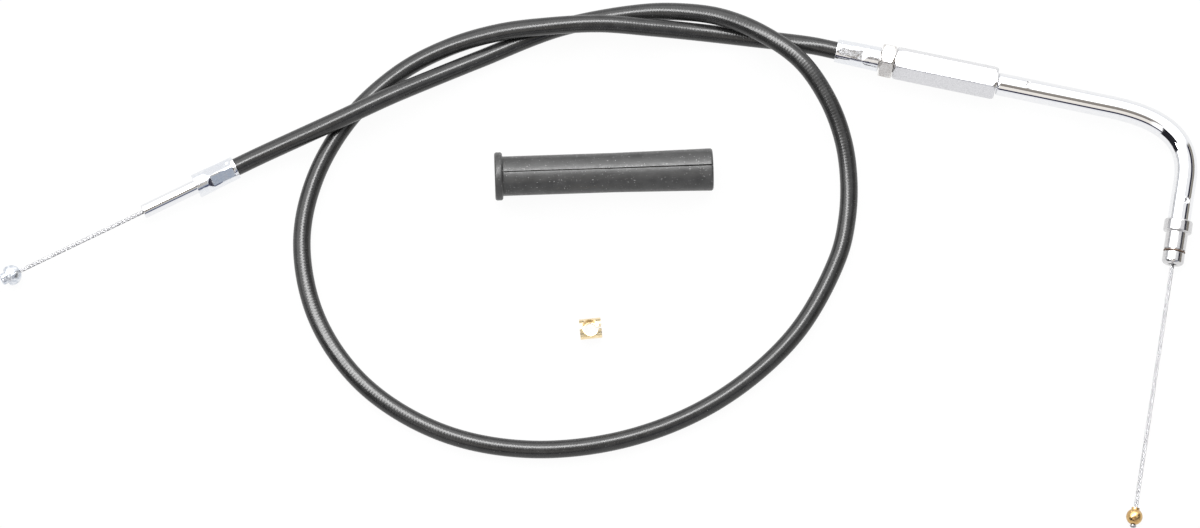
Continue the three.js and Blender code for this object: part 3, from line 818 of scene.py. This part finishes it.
def add_adjuster():
    shape = crimp(ADJUSTER_FLAT_R, ADJUSTER_FLAT_AT, mark_at=0.0019, mark_angle=-34)
    crimped = ferrule("adjuster_ferrule", adjuster_end, FERRULE_BORE_R, shape, ADJUSTER_FLAT_AT)
    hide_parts("adjuster_crimp_ferrule")

    def cut_thread(along, angle, radius):
        if radius < THREAD_R - 0.0001:
            return radius
        return radius - THREAD_DEPTH * (1 - thread(along, angle))

    stud_from = JACKET_INSERT + INSERT_GAP
    runout = FERRULE_LENGTH + CLEARANCE
    crest = [(along, THREAD_R) for along in np.linspace(STUD_END - 0.0008, runout, 220)]
    stud = spun("stud", straight(adjuster_end), [
        (stud_from, STUD_BORE_R), (STUD_END, STUD_BORE_R), (STUD_END, STUD_TIP_R),
        *crest, (runout, STUD_SHANK_R), (stud_from, STUD_SHANK_R),
    ], sides=48, shape=cut_thread)
    finished(stud, "cable_housing", ZINC, "zinc_plate", "threaded_stud")
    nut_hole = [(NUT_AT, TAPPED_R, 0.0002), (NUT_AT + NUT_THICKNESS, TAPPED_R, 0.0002)]
    nut = hex_piece("lock_nut", NUT_AT, NUT_THICKNESS, NUT_FLATS, NUT_TURNED, 1.0, nut_hole)
    finished(nut, "jam_nut", ZINC, "zinc_plate", "jam_nut")
    hole = [
        (ADJUSTER_AT, TAPPED_R, 0.0002), (CAVITY_FROM, TAPPED_R, 0), (CAVITY_FROM, CAVITY_R, 0),
        (CAVITY_TO, CAVITY_R, 0), (CAVITY_TO, COLLAR_BORE_R, 0), (ADJUSTER_END, COLLAR_BORE_R, 0.0002),
    ]
    barrel = hex_piece("hex_adjuster", ADJUSTER_AT, ADJUSTER_LENGTH,
                       ADJUSTER_FLATS, ADJUSTER_TURNED, 0.85, hole)
    finished(barrel, "adjuster", SATIN, "aluminium", "adjuster_barrel")


# -------------------------------- elbow and its plug

ELBOW_R = 0.0045
ELBOW_BORE_R = 0.0036
NECK_R = 0.0036
NECK_BORE_R = 0.0029
HEAD_R = 0.0046
HEAD_FROM = 0.0569
HEAD_TO = 0.0580
ELBOW_TURN = math.radians(87.6)
BEND_BEFORE = 0.033
BEND_AFTER = 0.0227
BEND_PULL = 0.68
LEG_SHOWN = 0.06
INLET_MARK_AT = 0.0765              # along the elbow, from the mouth of the crimp
INLET_MARK_TURN = math.radians(-18)
OUTLET_MARK_LEG = 0.0316            # down the leg, from the corner
OUTLET_MARK_TURN = math.radians(-22)
PIT_R = 0.00105
PIT_DEPTH = 0.00085
PIT_RIM_AT = 0.0013                 # from the pit's middle
PIT_RIM_WIDTH = 0.0003
PIT_RIM_HEIGHT = 0.00006
PLUG_COLLAR_AT = 0.0393
PLUG_COLLAR_END = 0.0441
PLUG_COLLAR_R = 0.0056
PLUG_R = 0.0043
GROOVE_AT = 0.0512
GROOVE_END = 0.0524
GROOVE_R = 0.00355
PLUG_END = 0.0572
PLUG_BORE_R = 0.0018
RING_R = 0.00405
RING_WIRE_R = 0.00028
THROTTLE_WIRE_FROM = 0.0252
THROTTLE_BALL_AT = 0.158
THROTTLE_BALL_R = 0.0032
THROTTLE_NECK_R = 0.0016


def elbow_line():
    """The elbow's centre line, from the mouth of the crimp to LEG_SHOWN past the corner."""
    corner = Vector((ELBOW_CORNER_AT, 0, 0))
    down = Vector((math.cos(ELBOW_TURN), -math.sin(ELBOW_TURN), 0))
    start, end = corner - Vector((BEND_BEFORE, 0, 0)), corner + down * BEND_AFTER
    first, second = start.lerp(corner, BEND_PULL), end.lerp(corner, BEND_PULL)
    bend = []
    for index in range(401):
        t = index / 400
        ahead = start.lerp(first, t).lerp(first.lerp(second, t), t)
        bend.append(ahead.lerp(first.lerp(second, t).lerp(second.lerp(end, t), t), t))
    points = [Vector((0, 0, 0)), *bend, corner + down * LEG_SHOWN]
    return [elbow_end @ point for point in points]


def punched(marks):
    """The shape of a tube that a round punch has staked at some places."""

    def shape(along, angle, radius):
        if radius < ELBOW_R - 0.0001:
            return radius
        reach = radius
        for at, mark_angle in marks:
            turn = (angle - mark_angle + math.pi) % (2 * math.pi) - math.pi
            away = math.hypot(along - at, ELBOW_R * turn)
            pit = max(0.0, 1 - (away / PIT_R) ** 2)
            reach += PIT_RIM_HEIGHT * math.exp(-(((away - PIT_RIM_AT) / PIT_RIM_WIDTH) ** 2))
            reach -= PIT_DEPTH * math.sqrt(pit)
        return reach

    return shape


def add_elbow():
    guide, line_length = bent(elbow_line(), elbow_up)
    corner_at = line_length - LEG_SHOWN
    face = ADJUSTER_END + CLEARANCE
    end = corner_at + PLUG_COLLAR_END - 0.0009
    marks = [(INLET_MARK_AT, INLET_MARK_TURN), (corner_at + OUTLET_MARK_LEG, OUTLET_MARK_TURN)]
    coarse, fine, mark_reach = 0.0009, 0.00018, 0.0016
    along = set(np.arange(face + 0.0005, end, coarse))
    for at, _ in marks:
        along |= set(np.arange(at - mark_reach, at + mark_reach, fine))
    outline = [
        (HEAD_FROM, NECK_BORE_R), (face + 0.002, NECK_BORE_R), (face + 0.002, ELBOW_BORE_R),
        (end, ELBOW_BORE_R), (end, ELBOW_R),
        *((at, ELBOW_R) for at in sorted(along, reverse=True)),
        (face, ELBOW_R - 0.0004), (face, NECK_R), (HEAD_TO, NECK_R),
        (HEAD_TO, HEAD_R), (HEAD_FROM, HEAD_R),
    ]
    tube = spun("elbow", guide, filled(outline, coarse), sides=112, shape=punched(marks),
                sharp_degrees=40)
    finished(tube, "elbow", CHROME, "chrome", "elbow_tube")


def add_plug():
    plug = spun("housing_plug", straight(leg), filled(rounded([
        (PLUG_COLLAR_AT, ELBOW_R + CLEARANCE, 0),
        (PLUG_COLLAR_END - 0.0006, ELBOW_R + CLEARANCE, 0),
        (PLUG_COLLAR_END - 0.0006, PLUG_BORE_R, 0),
        (PLUG_END - 0.0004, PLUG_BORE_R, 0),
        (PLUG_END, PLUG_BORE_R + 0.0004, 0.0001),
        (PLUG_END, PLUG_R, 0.0016),
        (GROOVE_END, PLUG_R, 0.00012),
        (GROOVE_END, GROOVE_R, 0),
        (GROOVE_AT, GROOVE_R, 0),
        (GROOVE_AT, PLUG_R, 0.00012),
        (PLUG_COLLAR_END, PLUG_R, 0.0003),
        (PLUG_COLLAR_END, PLUG_COLLAR_R, 0.0005),
        (PLUG_COLLAR_AT, PLUG_COLLAR_R, 0.0007),
    ]), 0.0006), sides=96)
    finished(plug, "elbow", TURNED, "chrome", "end_fitting")


def add_snap_ring():
    """A round wire in the plug's groove, with its gap facing down."""
    middle = (GROOVE_AT + GROOVE_END) / 2
    turns = np.radians(np.linspace(194, 526, 73))
    points = [leg @ Vector((middle, RING_R * math.sin(turn), RING_R * math.cos(turn))) for turn in turns]
    ring = rod("wire_ring", np.array([tuple(point) for point in points]), RING_WIRE_R, sides=10)
    finished(ring, "elbow", COPPER, "brass", "snap_ring")


def add_throttle_wire():
    ball_end = THROTTLE_BALL_AT + THROTTLE_BALL_R
    wire = stranded_wire("throttle_strands", leg, THROTTLE_WIRE_FROM, ball_end)
    finished(wire, "throttle_wire", WIRE, "steel", "throttle_wire")
    neck_end = THROTTLE_BALL_AT - THROTTLE_BALL_R - 0.0003
    outline = necked_ball_outline(THROTTLE_BALL_AT, THROTTLE_BALL_R, BALL_BORE_R,
                                  neck_end, THROTTLE_NECK_R)
    ball = spun("brass_ball", straight(leg), outline, sides=56)
    finished(ball, "throttle_wire", BALL_BRASS, "brass", "throttle_ball")
    tip = spun("wire_tip", straight(leg), [
        (ball_end + 0.0012, 0.00005), (ball_end + 0.0012, 0.0006), (ball_end + 0.0009, 0.00105),
        (ball_end + 0.0005, 0.00125), (ball_end + 0.0001, 0.0012), (ball_end, 0.0009),
        (ball_end, 0.00005),
    ], sides=24, shape=lumpy, sharp_degrees=60)
    finished(tip, "throttle_wire", WIRE, "steel", "throttle_wire_tip")


# -------------------------------- loose pieces

BOOT_MIDDLE = Vector((0.0024, 0.0426, 0.00895))
BOOT_HEADING = math.radians(2.1)
BOOT_PITCH = math.radians(-0.75)
BOOT_LENGTH = 0.0856
BOOT_R = 0.00775
BOOT_BORE_R = 0.00625
BOOT_FLANGE_R = 0.00945
BOOT_FLANGE_THICKNESS = 0.0031
BOOT_MOUTH_R = 0.00835
BARREL_MIDDLE = Vector((-0.0028, -0.0187, 0.0040))
BARREL_HEADING = math.radians(5.7)
BARREL_R = 0.00397
BARREL_LENGTH = 0.0084
SOCKET_R = 0.0033
SOCKET_FLOOR = -0.0015              # from the barrel's middle
BARREL_HOLE_R = 0.00245
BARREL_SLOT = 0.0019


def cut_from(piece, *cutters):
    """Cuts closed meshes out of a piece and removes them."""
    for cutter in cutters:
        modifier = piece.modifiers.new("cut", "BOOLEAN")
        modifier.object = cutter
        modifier.solver = "EXACT"
    graph = bpy.context.evaluated_depsgraph_get()
    mesh = bpy.data.meshes.new_from_object(piece.evaluated_get(graph))
    piece.modifiers.clear()
    piece.data = mesh
    welded = bmesh.new()
    welded.from_mesh(mesh)
    bmesh.ops.remove_doubles(welded, verts=welded.verts, dist=0.000002)
    welded.to_mesh(mesh)
    welded.free()
    mesh.shade_smooth()
    mesh.set_sharp_from_angle(angle=math.radians(30))
    for cutter in cutters:
        bpy.data.objects.remove(cutter)


def circle(radius, sides=96):
    """An outline of (y, z) round the x of a frame."""
    turns = 2 * math.pi * np.arange(sides) / sides
    return [(radius * math.cos(turn), radius * math.sin(turn)) for turn in turns]


def prism(name, place, outline, low, high):
    """A bar along the place's x between low and high with an outline of (y, z)."""
    vertices = [place @ Vector((along, y, z)) for along in (low, high) for y, z in outline]
    sides = len(outline)
    faces = grid_faces(2, sides)
    faces += [tuple(range(sides))[::-1], tuple(range(sides, 2 * sides))]
    return new_piece(name, vertices, faces)


def add_boot():
    direction = Vector((math.cos(BOOT_HEADING), math.sin(BOOT_HEADING), math.tan(BOOT_PITCH)))
    place = fitting_frame(BOOT_MIDDLE, direction, UP)
    half = BOOT_LENGTH / 2
    flange_end = -half + BOOT_FLANGE_THICKNESS
    boot = spun("rubber_boot", straight(place), filled(rounded([
        (-half, BOOT_BORE_R, 0.0004),
        (half, BOOT_BORE_R, 0.0003),
        (half, BOOT_MOUTH_R, 0.001),
        (half - 0.010, BOOT_MOUTH_R - 0.0002, 0.01),
        (0.004, BOOT_R, 0.02),
        (flange_end, BOOT_R, 0.0004),
        (flange_end, BOOT_FLANGE_R, 0.0009),
        (-half, BOOT_FLANGE_R, 0.0009),
    ]), 0.0015), sides=112)
    inside, wall, outside = BOOT_BORE_R - 0.0005, BOOT_R - 0.0002, BOOT_MOUTH_R + 0.0006
    lips = [(-0.00022, inside), (0.00022, inside), (0.00016, wall),
            (0.0004, outside), (-0.0004, outside), (-0.00016, wall)]
    slit = prism("slit", place, lips, flange_end + 0.0004, half + 0.001)
    cut_from(boot, slit)
    finished(boot, "boot", RUBBER, "rubber", "adjuster_boot")


def add_barrel():
    direction = Vector((math.cos(BARREL_HEADING), math.sin(BARREL_HEADING), 0))
    place = fitting_frame(BARREL_MIDDLE, direction, UP)
    half = BARREL_LENGTH / 2
    barrel = prism("brass_nipple", place, circle(BARREL_R), -half, half)
    upright = fitting_frame(BARREL_MIDDLE, UP, -direction)
    reach = BARREL_R + 0.001
    socket = prism("socket", upright, circle(SOCKET_R, sides=72), SOCKET_FLOOR, reach)
    hole = prism("hole", upright, circle(BARREL_HOLE_R, sides=72), -reach, 0.001)
    width = BARREL_SLOT / 2
    slot = prism("slot", place, [(-width, -reach), (width, -reach), (width, reach), (-width, reach)],
                 0.0001, reach)
    cut_from(barrel, socket, hole, slot)
    soft = barrel.modifiers.new("edges", "BEVEL")
    soft.width = 0.00012
    soft.segments = 2
    soft.limit_method = "ANGLE"
    soft.angle_limit = math.radians(40)
    finished(barrel, "barrel", BARREL_BRASS, "brass", "brass_barrel")


# -------------------------------- hidden pieces of the frame

HIDDEN = {
    "steel_conduit": WIRE, "cable_liner": NYLON, "inner_wire": WIRE, "guide_tube_liner": NYLON,
    "swivel_washer": BARREL_BRASS, "elbow_liner": NYLON, "elbow_wire": WIRE,
    "elbow_inlet_bush": NYLON, "elbow_outlet_bush": NYLON,
}


def dress_hidden():
    """Gives the nodes that stay as the CAD has them their materials."""
    for node, finish in HIDDEN.items():
        finish.on(frame["nodes"][node])


# -------------------------------- stage

# What the studio shows round the object: its name, its heading from +X towards +Y, half of its
# width, how far off the zenith it starts and ends and how soft its edges are, all in degrees,
# and its colour. A later one covers the earlier ones, and SURROUND shows between them.
SURROUND = (0.96, 0.965, 0.98)
CARDS = [
    ("ceiling", 130, 92, 6, 66, 6, (2.5, 2.5, 2.5)),
    ("lamp_spill", 84, 32, -10, 33, 9, (3.4, 3.4, 3.4)),
    ("beige_wall", -102, 26, 22, 60, 3, (0.97, 0.92, 0.85)),
    ("near_wall", -58, 20, 2, 37, 3, (0.56, 0.53, 0.48)),
    ("near_shelf_top", -58, 20, 37, 46, 2, (0.4, 0.45, 0.53)),
    ("picture_rail", -102, 26, 18, 28, 1.5, (0.05, 0.045, 0.08)),
    ("shelf", -106, 26, 57, 73, 1.5, (0.03, 0.03, 0.07)),
    ("near_shelf", -58, 22, 46, 62, 3, (0.06, 0.07, 0.14)),
    ("window", -128, 9, 16, 60, 3, (1.5, 1.5, 1.5)),
    ("stand", -151, 20, 22, 90, 1.5, (0.02, 0.02, 0.025)),
    ("doorway", -2, 34, 47, 66, 2, (0.03, 0.03, 0.05)),
    ("dim_room", -2, 34, 67, 95, 2, (0.3, 0.28, 0.24)),
    ("rail", 160, 32, 75, 81, 1.5, (0.3, 0.31, 0.34)),
]
# The camera's own dark shape: its colour, how far its middle is off the zenith, and its size.
CAMERA_SHADE = (0.3, 0.27, 0.24)
CAMERA_SHADE_AT = math.radians(15.5)
CAMERA_SHADE_REACH = math.radians(10.5)
CAMERA_SHADE_SOFT = math.radians(3)


class Sums:
    """Short forms for the sums in a node tree."""

    def __init__(self, tree):
        self.tree = tree

    def join(self, value, socket):
        if hasattr(value, "is_linked"):
            self.tree.links.new(value, socket)
        else:
            socket.default_value = value

    def math(self, operation, *values):
        node = self.tree.nodes.new("ShaderNodeMath")
        node.operation = operation
        for value, socket in zip(values, node.inputs):
            self.join(value, socket)
        return node.outputs[0]

    def past(self, value, edge, soft):
        """0 below an edge and 1 past it, with a soft step between."""
        node = self.tree.nodes.new("ShaderNodeMapRange")
        node.interpolation_type = "SMOOTHSTEP"
        self.join(value, node.inputs["Value"])
        node.inputs["From Min"].default_value = edge - soft
        node.inputs["From Max"].default_value = edge + soft
        return node.outputs["Result"]


def add_world():
    """A pale studio with a few things standing in it, for the bright metal to mirror."""
    world = bpy.data.worlds.new("studio")
    bpy.context.scene.world = world
    world.use_nodes = True
    tree = world.node_tree
    make = Sums(tree)
    direction = tree.nodes.new("ShaderNodeTexCoord").outputs["Generated"]
    split = tree.nodes.new("ShaderNodeSeparateXYZ")
    tree.links.new(direction, split.inputs["Vector"])
    off_zenith = make.math("ARCCOSINE", split.outputs["Z"])
    heading = make.math("ARCTAN2", split.outputs["Y"], split.outputs["X"])
    color = SURROUND
    for _, middle, half_width, start, end, soft, tone in CARDS:
        middle, half_width, start, end, soft = map(math.radians, (middle, half_width, start, end, soft))
        turned = make.math("WRAP", make.math("SUBTRACT", heading, middle), math.pi, -math.pi)
        aside = make.past(make.math("ABSOLUTE", turned), half_width, soft)
        begun = make.past(off_zenith, start, soft)
        within = make.math("SUBTRACT", begun, make.past(off_zenith, end, soft))
        shown = make.math("MULTIPLY", within, make.math("SUBTRACT", 1.0, aside))
        color = mixed(tree, shown, color, tone)
    toward = tree.nodes.new("ShaderNodeVectorMath")
    toward.operation = "DOT_PRODUCT"
    tree.links.new(direction, toward.inputs[0])
    toward.inputs[1].default_value = (0, -math.sin(CAMERA_SHADE_AT), math.cos(CAMERA_SHADE_AT))
    off_camera = make.math("ARCCOSINE", toward.outputs["Value"])
    past_camera = make.past(off_camera, CAMERA_SHADE_REACH, CAMERA_SHADE_SOFT)
    color = mixed(tree, past_camera, CAMERA_SHADE, color)
    tree.links.new(color, tree.nodes["Background"].inputs["Color"])


def add_floor():
    """White acrylic, lit a little from below, so that only faint shadows show on it."""
    size = 4.0
    corners = [(-size, -size, 0), (size, -size, 0), (size, size, 0), (-size, size, 0)]
    mesh = bpy.data.meshes.new("floor")
    mesh.from_pydata(corners, [], [(0, 1, 2, 3)])
    floor = bpy.data.objects.new("floor", mesh)
    bpy.context.scene.collection.objects.link(floor)
    acrylic = Finish("white_acrylic", (0.06, 0.06, 0.06), 0.9)
    acrylic.color(acrylic.ramp(acrylic.noise(40), (0.3, 0.055), (0.7, 0.065)))
    acrylic.set(Emission_Color=(1, 1, 1, 1), Emission_Strength=0.945, Specular_IOR_Level=0.0)
    acrylic.on(floor)
    return floor


def add_softbox(name, place, size, power, unlit):
    """A light that is aimed at the middle of the object and leaves one piece out."""
    data = bpy.data.lights.new(name, "AREA")
    data.shape = "RECTANGLE"
    data.size, data.size_y = size
    data.energy = power
    light = bpy.data.objects.new(name, data)
    light.location = place
    light.rotation_euler = (-Vector(place)).to_track_quat("-Z", "Y").to_euler()
    light.visible_camera = False
    bpy.context.scene.collection.objects.link(light)
    left_out = bpy.data.collections.new(name + "_leaves_out")
    left_out.objects.link(unlit)
    left_out.collection_objects[0].light_linking.link_state = "EXCLUDE"
    light.light_linking.receiver_collection = left_out


def add_studio():
    floor = add_floor()
    add_world()
    add_softbox("overhead_strip", (-0.2, 0.28, 1.25), (1.9, 0.3), 28, floor)
    bpy.context.scene.view_settings.view_transform = "Standard"


# -------------------------------- making it

add_camera()
sheath, route = add_sheath()
carb_pieces = add_carburettor_end()
add_adjuster()
add_elbow()
add_plug()
add_snap_ring()
add_throttle_wire()
add_boot()
add_barrel()
dress_hidden()
add_studio()

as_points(route[::8])
